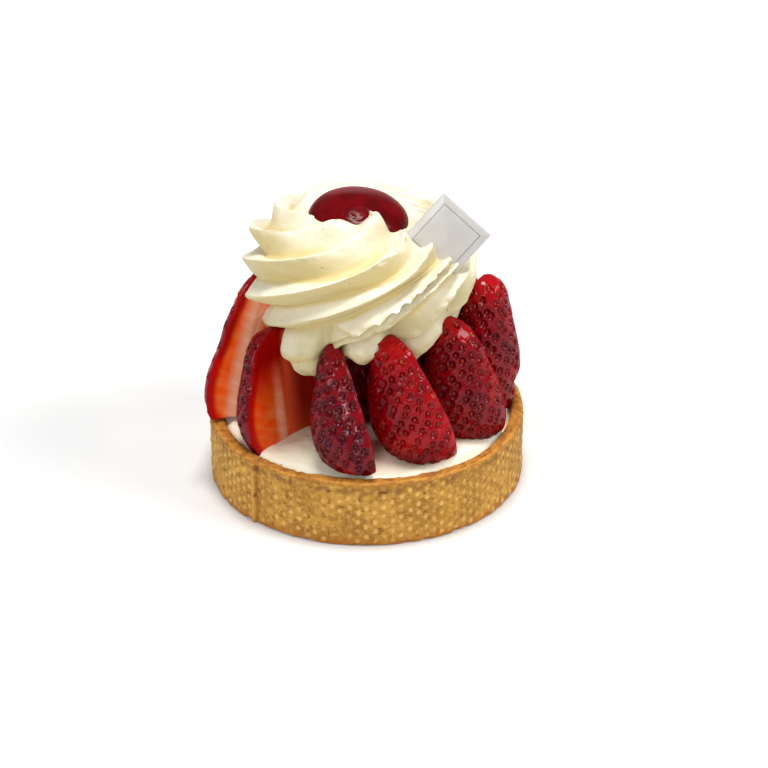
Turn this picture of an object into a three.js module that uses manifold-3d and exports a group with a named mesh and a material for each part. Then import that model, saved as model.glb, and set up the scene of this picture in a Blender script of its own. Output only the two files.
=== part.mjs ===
// A strawberry tart: a round shortcrust cup filled with cream, a ring of upright strawberry
// halves, a heap of berries in their middle, a piped rosette of whipped cream on top with a dome
// of strawberry gel in its nest, and a small square card stuck into the rosette.
// Millimetres, +Z up. The origin is the centre of the crust's flat underside.

import * as THREE from "three";
import { mergeVertices } from "three/addons/utils/BufferGeometryUtils.js";
import Module from "manifold-3d";

const wasm = await Module();
wasm.setup();

// Driving dimensions

const GAP = 0.3; // clearance between pieces that touch
const SIMPLIFY = 0.05; // how far a cut surface may be moved to save triangles

const CRUST_RADIUS = 42.5;
const CRUST_HEIGHT = 19;
const CRUST_WALL = 3;
const CRUST_FLOOR = 3;
const CRUST_EDGE_ROUND = 0.9;
const CRUST_SEAM_AZIMUTH = 225; // degrees, where the strip of dough overlaps itself
const CRUST_SEAM_STEP = 0.45;

const FILLING_TOP = 17.6;
const FILLING_WAVE = 0.35;
const FILLING_MOUND = new THREE.Vector3(-15, -24, 2.2); // x, y and height of a low heap

const BERRY_FOOT = 16.4; // height of a berry's foot, pressed a little into the filling
const BERRY_HULL_CUT = 0.07; // share of the berry's length lost with the hull

const HEAP_RADIUS = 14;
const HEAP_HEIGHT = 24;

const GEL_RADIUS = 13;
const GEL_RISE = 8;
const GEL_DROP = 3;
const GEL_CENTRE = new THREE.Vector3(-2.4, 2, 72.8);
const GEL_TILT = 4.5; // degrees that its right side is lower

const CARD_SIDE = 16.4;
const CARD_THICKNESS = 0.8;
const CARD_CENTRE = new THREE.Vector3(20.7, -8, 73.2);
const CARD_LEAN = 18; // degrees that the card leans back
const CARD_ROLL = 42; // degrees that its sides are turned from upright

// The strawberry halves, counter-clockwise. azimuth and reach place the middle of the foot,
// turn swings the cut face from looking along the ring towards the axis, lean and sway are how far
// the tip stands inwards of the foot and towards the skin's side. waist is the height share, the
// depth and the breadth of a hollow round the berry.
const BERRIES = [
  { azimuth: 193, reach: 36, turn: 4, lean: 11.5, sway: 6, height: 39.5, width: 18, bulge: 9.5,
    foot: 19.6, waist: [0.5, 0.08, 0.12] },
  { azimuth: 220, reach: 27.2, turn: 7, lean: 3, sway: 7, height: 31, width: 25.7, bulge: 11.4 },
  { azimuth: 274, reach: 28.3, turn: 0, lean: 6, sway: 8, height: 33, width: 21.5, bulge: 13,
    foot: 18 },
  { azimuth: 311, reach: 25.6, turn: 4, lean: 5, sway: 9, height: 35.5, width: 24, bulge: 13.8 },
  { azimuth: 344, reach: 29.4, turn: -9, lean: 4, sway: 6, height: 35.6, width: 22, bulge: 12 },
  { azimuth: 6, reach: 30.4, turn: 35, lean: 0, sway: 1.5, height: 40.7, width: 21, bulge: 10,
    waist: [0.2, 0.12, 0.07] },
  { azimuth: 38, reach: 30, turn: 6, lean: 5, sway: 5, height: 36, width: 23, bulge: 12 },
  { azimuth: 70, reach: 29, turn: 0, lean: 6, sway: 6, height: 34.5, width: 23, bulge: 12.5 },
  { azimuth: 101, reach: 29.5, turn: -4, lean: 5, sway: 5, height: 37, width: 22, bulge: 12 },
  { azimuth: 132, reach: 29, turn: 3, lean: 6, sway: 6, height: 35, width: 23.5, bulge: 12.5 },
  { azimuth: 163, reach: 29.5, turn: -2, lean: 5, sway: 5, height: 36, width: 22, bulge: 12 },
];

// The rosette's fins: the azimuth of each one's foot.
const FINS = [14, 53, 95, 138, 171, 194, 211, 254, 292, 332];

// Where the lobes at the fins' feet hang lower than the rest.
const LOBE_SAGS = [
  { azimuth: 238, drop: 6.5, spread: 15 },
  { azimuth: 268, drop: 1.5, spread: 10 },
  { azimuth: 306, drop: 1.5, spread: 12 },
];

// The rosette's section from its underside to its nest: radius and height of the fins' crests,
// depth of the grooves between them, and the angle the fins have turned from their feet.
const ROSETTE_SECTION = [
  [5, 46, 0, 8],
  [13, 44.5, 2.5, 10],
  [19.5, 43, 5.5, 14],
  [23.7, 43.8, 7, 13],
  [26, 46.5, 6.5, 17],
  [27.6, 50, 5.6, 32],
  [29.5, 54, 5, 52],
  [31, 58, 4.6, 68],
  [31.4, 62, 4.4, 83],
  [31, 66, 4.4, 98],
  [29.6, 70, 4.4, 114],
  [26.6, 73, 4, 130],
  [22.6, 75.2, 3.2, 148],
  [18, 76.4, 2.2, 166],
  [14.5, 76.8, 1.4, 180],
  [12, 76.2, 0.9, 188],
  [9, 74.8, 0.3, 190],
  [4, 74.3, 0, 190],
];
const ROSETTE_CENTRE = new THREE.Vector3(-2.4, -0.3, 0);
const NEST_CENTRE = new THREE.Vector3(-2.4, 2.4, 0);
// Rises and dips of the nest's rim: reach is the radius at which each one has faded out.
const NEST_WAVES = [
  { azimuth: 25, height: -3, spread: 45, reach: 30 },
  { azimuth: 255, height: 3.6, spread: 35, reach: 22 },
  { azimuth: 287, height: 4.5, spread: 8, reach: 19 },
  { azimuth: 325, height: -2.5, spread: 30, reach: 26 },
];

const material = (color, roughness) =>
  new THREE.MeshStandardMaterial({ color, roughness, metalness: 0 });
const crustMaterial = material(0xb98340, 0.8);
const creamMaterial = material(0xefe3c6, 0.6);
const berryMaterial = material(0x8a1420, 0.3);
const gelMaterial = material(0x78101a, 0.1);
const cardMaterial = material(0xd2cfc9, 0.5);

const { degToRad, radToDeg, smoothstep, euclideanModulo, lerp } = THREE.MathUtils;
const TURN = 2 * Math.PI;

const polar = (radius, azimuth, z) =>
  new THREE.Vector3(radius * Math.cos(azimuth), radius * Math.sin(azimuth), z);

const bell = (offset, spread) => Math.exp(-Math.pow(offset / spread, 2));

// A bell round an azimuth, both in degrees.
const bellAt = (azimuth, middle, spread) =>
  bell(euclideanModulo(azimuth - middle + 180, 360) - 180, spread);

const middleOf = (ring) =>
  ring.reduce((sum, p) => sum.add(p), new THREE.Vector3()).divideScalar(ring.length);

// A closed skin over rings of points that run from its lower pole to its upper one, each
// counter-clockwise seen from above. The first and last ring are closed by fans.
function skinOver(rings, tip = middleOf(rings[rings.length - 1])) {
  const count = rings[0].length;
  const points = [...rings.flat(), middleOf(rings[0]), tip];
  const lowPole = points.length - 2;
  const highPole = points.length - 1;
  const lastRing = (rings.length - 1) * count;
  const index = [];
  for (let j = 0; j < count; j++) {
    const next = (j + 1) % count;
    index.push(lowPole, next, j, highPole, lastRing + j, lastRing + next);
    for (let i = 0; i < rings.length - 1; i++) {
      const [a, b] = [i * count + j, i * count + next];
      index.push(a, b, b + count, a, b + count, a + count);
    }
  }
  return new THREE.BufferGeometry().setFromPoints(points).setIndex(index);
}

// Rings of a form that goes round the axis: pointAt(row, azimuth) gives one point.
function ringsRound(rowCount, segments, pointAt) {
  return Array.from({ length: rowCount }, (_, row) =>
    Array.from({ length: segments }, (_, k) => pointAt(row, (TURN * k) / segments)),
  );
}

function solidOf(mesh) {
  mesh.updateWorldMatrix(true, false);
  const bare = new THREE.BufferGeometry()
    .setAttribute("position", mesh.geometry.getAttribute("position"))
    .setIndex(mesh.geometry.getIndex())
    .applyMatrix4(mesh.matrixWorld);
  const merged = mergeVertices(bare, 1e-4);
  return new wasm.Manifold(
    new wasm.Mesh({
      numProp: 3,
      vertProperties: merged.attributes.position.array,
      triVerts: new Uint32Array(merged.index.array),
    }),
  );
}

// A mesh of the form less the rooms that its neighbours need.
function meshWithout(geometry, rooms, material, name) {
  const whole = solidOf(new THREE.Mesh(geometry, material));
  const cut = rooms.reduce((solid, room) => solid.subtract(room), whole);
  const { vertProperties, triVerts } = cut.simplify(SIMPLIFY).getMesh();
  const cutGeometry = new THREE.BufferGeometry()
    .setAttribute("position", new THREE.BufferAttribute(vertProperties, 3))
    .setIndex(new THREE.BufferAttribute(triVerts, 1));
  const mesh = new THREE.Mesh(cutGeometry, material);
  mesh.name = name;
  return mesh;
}

// Crust: a cup of shortcrust with a rounded, slightly wavy rim. Its wall is a strip of dough whose
// end lies over its start, which leaves a step down the outside.
const CRUST_SEGMENTS = 64;

function makeCrust() {
  const inner = CRUST_RADIUS - CRUST_WALL;
  const round = CRUST_EDGE_ROUND;
  const profile = [
    [CRUST_RADIUS * 0.6, 0],
    [CRUST_RADIUS - 0.7, 0],
    [CRUST_RADIUS, 0.7],
    [CRUST_RADIUS, CRUST_HEIGHT - round],
    [CRUST_RADIUS - round, CRUST_HEIGHT],
    [inner + round, CRUST_HEIGHT],
    [inner, CRUST_HEIGHT - round],
    [inner, CRUST_FLOOR],
    [inner * 0.6, CRUST_FLOOR],
  ];
  const rows = ringsRound(profile.length, CRUST_SEGMENTS, (row, azimuth) => {
    const [radius, z] = profile[row];
    const pastSeam = euclideanModulo(radToDeg(azimuth) - CRUST_SEAM_AZIMUTH, 360) / 360;
    const overlap = radius >= CRUST_RADIUS - round ? CRUST_SEAM_STEP * (pastSeam - 1) : 0;
    const wave = z >= CRUST_HEIGHT - round ? 0.25 * Math.sin(3 * azimuth) - 0.25 : 0;
    return polar(radius + overlap, azimuth, z + wave);
  });
  const mesh = new THREE.Mesh(skinOver(rows), crustMaterial);
  mesh.name = "crust";
  return mesh;
}

// Filling: cream from the crust's floor to just under its rim, wavy on top.
const FILLING_SEGMENTS = 36;

function makeFilling(rooms) {
  const outer = CRUST_RADIUS - CRUST_WALL - GAP;
  const bottom = CRUST_FLOOR + GAP;
  const profile = [
    [outer * 0.6, bottom],
    [outer, bottom],
    [outer, FILLING_TOP - 1],
    [outer - 1.2, FILLING_TOP],
    ...[0.86, 0.72, 0.55, 0.3].map((share) => [outer * share, FILLING_TOP]),
  ];
  const rows = ringsRound(profile.length, FILLING_SEGMENTS, (row, azimuth) => {
    const [radius, z] = profile[row];
    const point = polar(radius, azimuth, z);
    if (z < FILLING_TOP) return point;
    const fromMound = Math.hypot(point.x - FILLING_MOUND.x, point.y - FILLING_MOUND.y);
    point.z += FILLING_WAVE * Math.sin(radius * 0.35 + 5 * azimuth) * Math.min(1, radius / 10);
    point.z += FILLING_MOUND.z * bell(fromMound, 8);
    return point;
  });
  return meshWithout(skinOver(rows), rooms, creamMaterial, "filling");
}

// A strawberry half: level D-shaped slices from its trimmed foot to its tip. The cut face looks
// along +X and the axis of the tart lies towards +Y. grow swells it into the room it needs.
const BERRY_SLICES = 11;
const BERRY_SKIN_STEPS = 12;
const BERRY_FACE_STEPS = 4;

function berryWidthAt(share, [waistAt, waistDepth, waistSpread] = [0, 0, 1]) {
  const [shoulder, taper] = [0.35, 0.7];
  const form = (u) => Math.pow(u, shoulder) * Math.pow(1 - u, taper);
  const fromHull = lerp(BERRY_HULL_CUT, 1, share);
  const waist = 1 - waistDepth * bell(share - waistAt, waistSpread);
  return (waist * form(fromHull)) / form(shoulder / (shoulder + taper));
}

function makeBerry(berry, name, grow = 0) {
  const middleAt = (share) =>
    new THREE.Vector3(
      -berry.sway * share,
      berry.lean * Math.pow(share, 1.3),
      (berry.height + 2 * grow) * share - grow,
    );
  const rings = Array.from({ length: BERRY_SLICES }, (_, i) => {
    const share = 1 - Math.pow(1 - i / BERRY_SLICES, 1.5);
    const width = berryWidthAt(share, berry.waist);
    const halfWidth = (berry.width / 2) * width + grow;
    const bulge = berry.bulge * width + grow;
    const middle = middleAt(share);
    const skin = Array.from({ length: BERRY_SKIN_STEPS + 1 }, (_, k) => {
      const angle = Math.PI / 2 + (Math.PI * k) / BERRY_SKIN_STEPS;
      const out = new THREE.Vector3(bulge * Math.cos(angle), halfWidth * Math.sin(angle), 0);
      return out.add(middle);
    });
    const face = Array.from({ length: BERRY_FACE_STEPS + 1 }, (_, k) => {
      const across = -1 + (2 * k) / BERRY_FACE_STEPS;
      return new THREE.Vector3(grow, halfWidth * across, 0).add(middle);
    });
    return [...skin, ...(grow > 0 ? face : face.slice(1, -1))];
  });
  const mesh = new THREE.Mesh(skinOver(rings, middleAt(1)), berryMaterial);
  mesh.name = name;
  mesh.position.copy(polar(berry.reach, degToRad(berry.azimuth), berry.foot ?? BERRY_FOOT));
  mesh.rotation.z = degToRad(berry.azimuth + 90 + berry.turn);
  return mesh;
}

// Heap: the berries packed under the rosette, seen only in the gaps between the halves.
function makeHeap(rooms) {
  const rowCount = 7;
  const rows = ringsRound(rowCount, 26, (row, azimuth) => {
    const share = row / rowCount;
    const lumps = 1 + 0.12 * Math.sin(5 * azimuth + 2 * share) + 0.05 * Math.sin(9 * azimuth);
    const radius = HEAP_RADIUS * lumps * Math.sqrt(1 - Math.pow(share, 2.5));
    return polar(radius, azimuth, FILLING_TOP + FILLING_WAVE + 2 * GAP + HEAP_HEIGHT * share);
  });
  return meshWithout(skinOver(rows), rooms, berryMaterial, "berry_heap");
}

// Rosette: a star nozzle's fins, sharp at the crest and round in the groove, that wind clockwise
// from the nest down and out to the lobes at their feet.
const ROSETTE_ROWS = 25;
const POINTS_PER_FIN = 8;
const ROSETTE_CRESTS = new THREE.SplineCurve(
  ROSETTE_SECTION.map(([radius, z]) => new THREE.Vector2(radius, z)),
);
const ROSETTE_WINDING = new THREE.SplineCurve(
  ROSETTE_SECTION.map(([, , depth, twist]) => new THREE.Vector2(depth, twist)),
);

// 1 on a fin's crest, 0 in the groove, which lies nearer the next crest.
const finShape = (u) => 1 - Math.pow(Math.sin(Math.PI * (u - 0.1 * Math.sin(Math.PI * u))), 0.85);

// The same for the rounded lobe at a fin's foot.
const lobeShape = (u) => Math.pow(0.5 + 0.5 * Math.cos(TURN * u), 0.6);

function rosettePoint(share, k, u) {
  const [fin, next] = [FINS[k], FINS[(k + 1) % FINS.length]];
  const gap = euclideanModulo(next - fin, 360);
  const crest = ROSETTE_CRESTS.getPoint(share);
  const along = ROSETTE_CRESTS.getTangent(share);
  const { x: depth, y: twist } = ROSETTE_WINDING.getPoint(share);
  const azimuth = fin + gap * u + twist;
  const foot = 1 - smoothstep(crest.y, 44, 56);
  const shape = lerp(finShape(u), lobeShape(u), foot);
  const top = crest.y > 60 ? 1 - smoothstep(crest.x, 12, 28) : 0;
  const inwards = depth * (1 - shape);
  const sag = LOBE_SAGS.reduce((sum, { azimuth: middle, drop, spread }) =>
    sum + foot * drop * bellAt(azimuth, middle, spread), 0);
  const lift = NEST_WAVES.reduce((sum, { azimuth: middle, height, spread, reach }) => {
    const near = crest.y > 60 ? 1 - smoothstep(crest.x, 12, reach) : 0;
    return sum + height * near * bellAt(azimuth, middle, spread);
  }, 0);
  return polar(
    crest.x - along.y * inwards,
    degToRad(azimuth),
    crest.y + along.x * inwards - sag + lift,
  ).add(ROSETTE_CENTRE.clone().lerp(NEST_CENTRE, top));
}

function makeRosette(rooms) {
  const rows = Array.from({ length: ROSETTE_ROWS }, (_, row) =>
    FINS.flatMap((_, k) =>
      Array.from({ length: POINTS_PER_FIN }, (_, i) =>
        rosettePoint(row / (ROSETTE_ROWS - 1), k, i / POINTS_PER_FIN),
      ),
    ),
  );
  return meshWithout(skinOver(rows), rooms, creamMaterial, "rosette");
}

// Gel: a dome on a shallower bowl, set in the nest.
function makeGel(name, grow = 0) {
  const rowCount = 10;
  const rows = ringsRound(rowCount, 30, (row, azimuth) => {
    const angle = -Math.PI / 2 + (Math.PI * (row + 1)) / (rowCount + 1);
    const height = (angle > 0 ? GEL_RISE : GEL_DROP) + grow;
    return polar((GEL_RADIUS + grow) * Math.cos(angle), azimuth, height * Math.sin(angle));
  });
  const mesh = new THREE.Mesh(skinOver(rows), gelMaterial);
  mesh.name = name;
  mesh.position.copy(GEL_CENTRE);
  mesh.rotation.y = degToRad(GEL_TILT);
  return mesh;
}

// Card: a small square on its corner, stuck into the rosette.
function makeCard(name, grow = 0) {
  const side = CARD_SIDE + 2 * grow;
  const geometry = new THREE.BoxGeometry(side, CARD_THICKNESS + 2 * grow, side);
  const mesh = new THREE.Mesh(geometry, cardMaterial);
  mesh.name = name;
  mesh.position.copy(CARD_CENTRE);
  mesh.rotation.set(degToRad(-CARD_LEAN), degToRad(CARD_ROLL), 0, "XYZ");
  return mesh;
}

const berryName = (i) => `berry_${String(i + 1).padStart(2, "0")}`;
const berryRooms = BERRIES.map((berry) => solidOf(makeBerry(berry, "room", 1.5 * GAP)));
const toppingRooms = [solidOf(makeGel("room", GAP)), solidOf(makeCard("room", GAP))];

const tart = new THREE.Group();
tart.add(makeCrust(), makeFilling(berryRooms));
tart.add(...BERRIES.map((berry, i) => makeBerry(berry, berryName(i))));
tart.add(makeHeap(berryRooms), makeRosette([...berryRooms, ...toppingRooms]));
tart.add(makeGel("gel"), makeCard("card"));

export default tart;
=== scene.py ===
"""A strawberry tart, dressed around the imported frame.

Shapes are worked out in millimetres, +Z up, with the origin at the centre of the crust's
underside, and turned into metres when a piece is made. Azimuths run counter-clockwise from +X as
seen from above, so 270 degrees faces the viewer of the photo.
"""

from math import cos, pi, radians, sin, sqrt

import bpy
import numpy as np
from mathutils import Matrix, Vector


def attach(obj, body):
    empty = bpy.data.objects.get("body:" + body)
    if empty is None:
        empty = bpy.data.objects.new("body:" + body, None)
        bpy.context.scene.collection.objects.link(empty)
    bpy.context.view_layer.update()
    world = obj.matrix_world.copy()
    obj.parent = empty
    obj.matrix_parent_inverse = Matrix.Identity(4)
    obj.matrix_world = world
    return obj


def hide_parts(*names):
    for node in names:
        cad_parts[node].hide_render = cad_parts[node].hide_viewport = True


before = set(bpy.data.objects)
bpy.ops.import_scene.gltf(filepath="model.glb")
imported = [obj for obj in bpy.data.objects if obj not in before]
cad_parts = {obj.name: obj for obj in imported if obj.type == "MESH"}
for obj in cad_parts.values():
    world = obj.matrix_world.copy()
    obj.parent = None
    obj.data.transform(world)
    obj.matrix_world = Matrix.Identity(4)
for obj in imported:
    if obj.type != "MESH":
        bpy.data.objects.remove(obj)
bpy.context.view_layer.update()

MM = 0.001
METRE = 1000  # mm
TURN = 2 * pi

# Driving dimensions, in mm and degrees: those of the part's source, except where the wall, seam,
# heaps, third berry, rosette and gel are closer to the photo

CRUST_RADIUS = 42.5
CRUST_HEIGHT = 19
CRUST_WALL = 3.7
CRUST_FLOOR = 3
CRUST_EDGE_ROUND = 0.9
CRUST_FOOT_ROUND = 0.7
CRUST_SEAM_AZIMUTH = 226
CRUST_SEAM_STEP = 0.45
CRUST_NICK_AZIMUTH = 240.7  # a second, short seam under the rim
HIDDEN_BELOW = 12  # height under which nothing inside the crust shows

FILLING_TOP = 17.6
FILLING_WAVE = 0.35
FILLING_CLEARANCE = 0.05
# Low heaps of cream between the berries: x, y, height, spread. The last is a hollow.
FILLING_MOUNDS = ((-13.6, -24.4, 2.2, 7.6), (5, -28, 1.5, 6), (26, -25, 1.6, 7), (-35, -13, 1.0, 6),
                  (37, -5, 1.0, 7), (31, 20, 1.2, 8), (4, 36, 1.2, 7), (-31, 21, 1.2, 8),
                  (-32, -20, -2.2, 3.5))
GAP = 0.3

GEL_RADIUS = 13.4
GEL_RISE = 8
GEL_DROP = 3
GEL_CENTRE = (-2.2, 2, 72.8)
GEL_TILT = 4.5
GEL_CURL = np.array((0.2, -8, 5.5))  # the middle of a wrinkle, from the dome's centre

CARD_SIDE = 16.4
CARD_THICKNESS = 0.8
CARD_CORNER = 0.35
CARD_CENTRE = (20.7, -8, 73.2)
CARD_LEAN = 18
CARD_ROLL = 42
CARD_LINE = 6.2  # distance of the frame line from the middle

BERRY_HULL_CUT = 0.07
# The halves, counter-clockwise. turn swings the cut face from looking along the ring towards the
# axis, lean and sway are how far the tip stands inwards of the foot and towards the skin's side,
# bulge is the depth behind the cut face, and the last is what differs from USUAL_BERRY.
BERRY_KEYS = ("azimuth", "reach", "turn", "lean", "sway", "height", "width", "bulge")
BERRIES = (
    (193, 36, 4, 11.5, 6, 39.5, 18, 9.5,
     dict(foot=19.6, waist=(0.5, 0.08, 0.12), ripe=0.9, pale=0.95, bright=0.45)),
    (220, 27.2, 7, 3, 7, 31, 25.7, 11.4,
     dict(painted_shade=0.95, ripe=0.5, bright=0.2, core=(-0.9, 0.4, 2.4))),
    (268, 29.6, 24, 7.7, 4, 32, 23.4, 11.8,
     dict(foot=18.4, waist=(0.06, 0.03, 0.2), taper=0.84, rounded=0.4, bright=0.1, ripe=-0.5,
          pale=0, golden=0.15)),
    (311, 25.6, 4, 5, 9, 35.5, 24, 13.8, dict(waist=(0.8, 0.1, 0.13), bright=0.55)),
    (344, 29.4, -9, 4, 6, 35.6, 22, 12, dict(bright=0.35)),
    (6, 30.4, 35, 0, 1.5, 40.7, 21, 10, dict(waist=(0.2, 0.12, 0.07))),
    (38, 30, 6, 5, 5, 36, 23, 12, {}),
    (70, 29, 0, 6, 6, 34.5, 23, 12.5, {}),
    (101, 29.5, -4, 5, 5, 37, 22, 12, {}),
    (132, 29, 3, 6, 6, 35, 23.5, 12.5, {}),
    (163, 29.5, -2, 5, 5, 36, 22, 12, {}),
)
# Height of the foot; height share, depth and spread of a hollow; how much tip and foot narrow; how
# bright the skin is; height share where the face's orange ends; how pale its core is; how much
# painted shade lies on its inner side; how golden the seeds are. core is its middle, half width and
# where it has faded.
USUAL_BERRY = dict(foot=16.4, waist=(0, 0, 1), taper=0.7, rounded=0, bright=0.4, ripe=0.6,
                   pale=0.85, painted_shade=0, golden=0.5)
# The berries under the rosette: how many, how far out, and how high above the filling.
HEAP_BERRY = USUAL_BERRY | dict(sway=0, lean=0, height=23, width=14, bulge=7, bright=0.2)
HEAP_COUNT = 4
HEAP_REACH = 7.4
HEAP_RISE = 0.8

# The fins' azimuths at the foot and higher up, and how deep the groove behind each is there, as a
# share of the usual.
FINS = (2, 43, 89, 134, 171, 209, 219, 258, 296, 330)
FINS_HIGH = (2, 43, 89, 134, 171, 195, 207, 232, 270, 318)
GROOVES_LOW = (1, 1, 1, 1, 1, 0.1, 1, 1, 1, 1)
GROOVES_HIGH = (1, 1, 1, 1, 1, 0.8, 1, 1, 1, 1)
# Where the lobes at the fins' feet hang lower, or higher: azimuth, drop, spread.
LOBE_SAGS = ((234, 3.8, 10), (250, 9.4, 10), (264, -4.5, 7), (306, 1.2, 12))
# Radius and height of the crests, depth of the grooves, and twist from the feet.
ROSETTE_SECTION = np.array([
    (5, 46, 0, 8), (13, 44.5, 2.5, 10), (19.5, 43, 5.5, 14), (23.7, 43.8, 7, 13),
    (26, 46.5, 6.5, 17), (27.6, 50, 5.6, 32), (29.5, 54, 5, 52), (31, 58, 4.6, 69),
    (31.4, 62, 4.4, 85), (31, 66, 4.4, 102), (29.6, 70, 4.7, 121), (26.8, 73, 4.7, 139),
    (22.8, 75.2, 4, 158), (18, 76.4, 2.8, 177), (14.5, 76.8, 1.6, 192), (12, 76.2, 0.9, 200),
    (9, 74.8, 0.3, 202), (4, 74.3, 0, 202),
])
ROSETTE_CENTRE = np.array((-2.4, -0.3, 0))
NEST_CENTRE = np.array((-2.4, 2.4, 0))
# Places where the outside is pushed out or in: azimuth, height, push, and the spread of both.
ROSETTE_PUSHES = (
    (228, 46, 1.8, 11, 4), (293, 50, -5, 8, 4.5), (334, 52, -2, 7, 4), (182, 73, 1.8, 16, 2.2),
    (197, 49.5, -2.2, 10, 4), (266, 43, 3, 8, 4), (184, 67, -1.4, 20, 6), (253, 50, -5.2, 5, 4.5),
)
# The fin with a torn crest, and where its teeth hang, as azimuth, drop and spread.
TORN_FIN = 5
TEETH = ((271, 1.0, 5), (281, 1.2, 3), (289, 1.3, 2.5), (296, 1.2, 2.5), (303, 1.2, 3), (311, 1, 3))
# The flap on this fin: where it starts on the crest, the lead of its start in the groove, and its
# thickness.
FLAP = (267, 14, 1.3)
# Where the shoulder dips in front of the card: azimuth, height, spread, radius, radial spread.
SHOULDER_DIP = (341, -5, 16, 26, 7)
# Where the grooves on top fade out: azimuth and spread.
SMOOTH_TOP = (30, 42)
# Rises and dips of the nest's rim: azimuth, height, spread, and the radius where each has faded.
NEST_WAVES = (
    (25, -3, 45, 30), (255, 2.6, 35, 22), (283, 2.2, 9, 18), (296.5, 5, 8.5, 19), (318, 1.2, 14, 22),
    (325, -2.5, 30, 26),
)


# Small mathematics

# The noise's hash: a factor for each axis, one for the seed and one to mix with.
HASH_AXES = np.array((73856093, 19349663, 83492791))
HASH_SEED = 668265263
HASH_MIX = 1274126177
LOW_32_BITS = 0xFFFFFFFF
LOW_16_BITS = 0xFFFF


def smoothstep(x, low, high):
    share = np.clip((x - low) / (high - low), 0, 1)
    return share * share * (3 - 2 * share)


def lerp(a, b, share):
    return a + (b - a) * share


def angles_round(count):
    return np.linspace(0, TURN, count, endpoint=False)


def bell(offset, spread):
    return np.exp(-((offset / spread) ** 2))


def off_azimuth(azimuth, middle):
    """Degrees from one azimuth to another, the shorter way round."""
    return (azimuth - middle + 180) % 360 - 180


def bell_at(azimuth, middle, spread):
    return bell(off_azimuth(azimuth, middle), spread)


def polar(radius, azimuth, z):
    """Points from a radius, an azimuth in radians and a height."""
    return np.stack(np.broadcast_arrays(radius * np.cos(azimuth), radius * np.sin(azimuth), z), -1)


def arc_points(centre, radius, start, end, count):
    """Points in a plane round a centre, from one angle to another in degrees."""
    angle = np.radians(np.linspace(start, end, count))
    return np.stack([centre[0] + radius * np.cos(angle), centre[1] + radius * np.sin(angle)], -1)


def noise(points, size, seed=0):
    """Smooth noise from -1 to 1, with lumps about size across."""
    cell = np.asarray(points) / size
    low = np.floor(cell).astype(np.int64)
    part = cell - low
    part = part * part * (3 - 2 * part)
    total = 0
    for corner in np.ndindex(2, 2, 2):
        weight = np.where(corner, part, 1 - part).prod(-1)
        key = (low + corner) @ HASH_AXES + seed * HASH_SEED
        key = ((key ^ (key >> 13)) * HASH_MIX) & LOW_32_BITS
        key = ((key ^ (key >> 15)) * HASH_SEED) & LOW_32_BITS
        total += weight * (((key ^ (key >> 16)) & LOW_16_BITS) / (LOW_16_BITS / 2) - 1)
    return total


def pushed(rings, out):
    """Rings, counter-clockwise and from the lowest up, moved out along their normals."""
    across = np.roll(rings, -1, 1) - np.roll(rings, 1, 1)
    along = np.gradient(rings, axis=0)
    normal = np.cross(across, along)
    normal = normal / (np.linalg.norm(normal, axis=-1, keepdims=True) + 1e-9)
    return rings + normal * out[..., None]


def skin(rings):
    """Points and faces of the closed skin over an array of rings, with a pole at each end."""
    rows, columns = rings.shape[:2]
    points = np.concatenate([rings.reshape(-1, 3), rings[:1].mean(1), rings[-1:].mean(1)])
    column = np.arange(columns)
    after = (column + 1) % columns
    row = columns * np.arange(rows - 1)[:, None]
    quads = np.stack([row + column, row + after, row + columns + after, row + columns + column], -1)
    pole, last = rows * columns, (rows - 1) * columns
    low_fan = np.stack([np.full(columns, pole), after, column], -1)
    high_fan = np.stack([np.full(columns, pole + 1), last + column, last + after], -1)
    return points, quads.reshape(-1, 4).tolist() + low_fan.tolist() + high_fan.tolist()


def masks_on_skin(masks, shape, more=0):
    """Masks over rings as values at the skin's points, 0 at the poles and at more points."""
    rest = np.zeros(2 + more)
    return {key: np.append(np.broadcast_to(mask, shape).ravel(), rest)
            for key, mask in masks.items()}


def renumbered(faces, count):
    """The faces of a mesh whose points follow count others."""
    return [[i + count for i in face] for face in faces]


def turned(points, angle, axis):
    return points @ np.array(Matrix.Rotation(angle, 3, axis)).T


def make_object(name, data):
    made = bpy.data.objects.new(name, data)
    bpy.context.scene.collection.objects.link(made)
    return made


def make_piece(name, points, faces, materials, node, slot, face_material=None, **attributes):
    """A smooth mesh object in the shared frame that stands for a CAD node."""
    mesh = bpy.data.meshes.new(name)
    mesh.from_pydata(points * MM, [], faces)
    for material in materials:
        mesh.materials.append(material)
    if face_material is not None:
        mesh.polygons.foreach_set("material_index", face_material)
    for key, values in attributes.items():
        attribute = mesh.attributes.new(key, "FLOAT", "POINT")
        attribute.data.foreach_set("value", values.astype(np.float32))
    mesh.shade_smooth()
    mesh.update()
    piece = make_object(name, mesh)
    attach(piece, "root")
    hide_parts(node)
    return piece


# Materials

def rgb(red, green, blue):
    """A colour given as it looks on screen, 0 to 255, as linear RGBA."""
    def linear(value):
        value /= 255
        return value / 12.92 if value <= 0.04045 else ((value + 0.055) / 1.055) ** 2.4
    return (linear(red), linear(green), linear(blue), 1)


# Patches of colour: size in mm, detail and seed of their noise, where in it they begin and are
# whole, how much they cover, and their colour.
CRUST_PATCHES = (
    (9, 3, 0, 0.35, 0.65, 1, rgb(202, 150, 60)),
    (2.2, 4, 2, 0.44, 0.66, 0.75, rgb(150, 98, 36)),
    (0.8, 3, 4, 0.48, 0.68, 0.55, rgb(222, 172, 84)),
    (1.1, 3, 6, 0.54, 0.7, 0.55, rgb(146, 90, 28)),
)
RIM_PATCHES = (
    (2.4, 4, 5, 0.4, 0.6, 1, rgb(146, 88, 26)),
    (0.7, 3, 8, 0.5, 0.7, 0.6, rgb(206, 150, 66)),
)
SPECK_CELL = 2.7  # mm across, each with at most one vanilla speck


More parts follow.
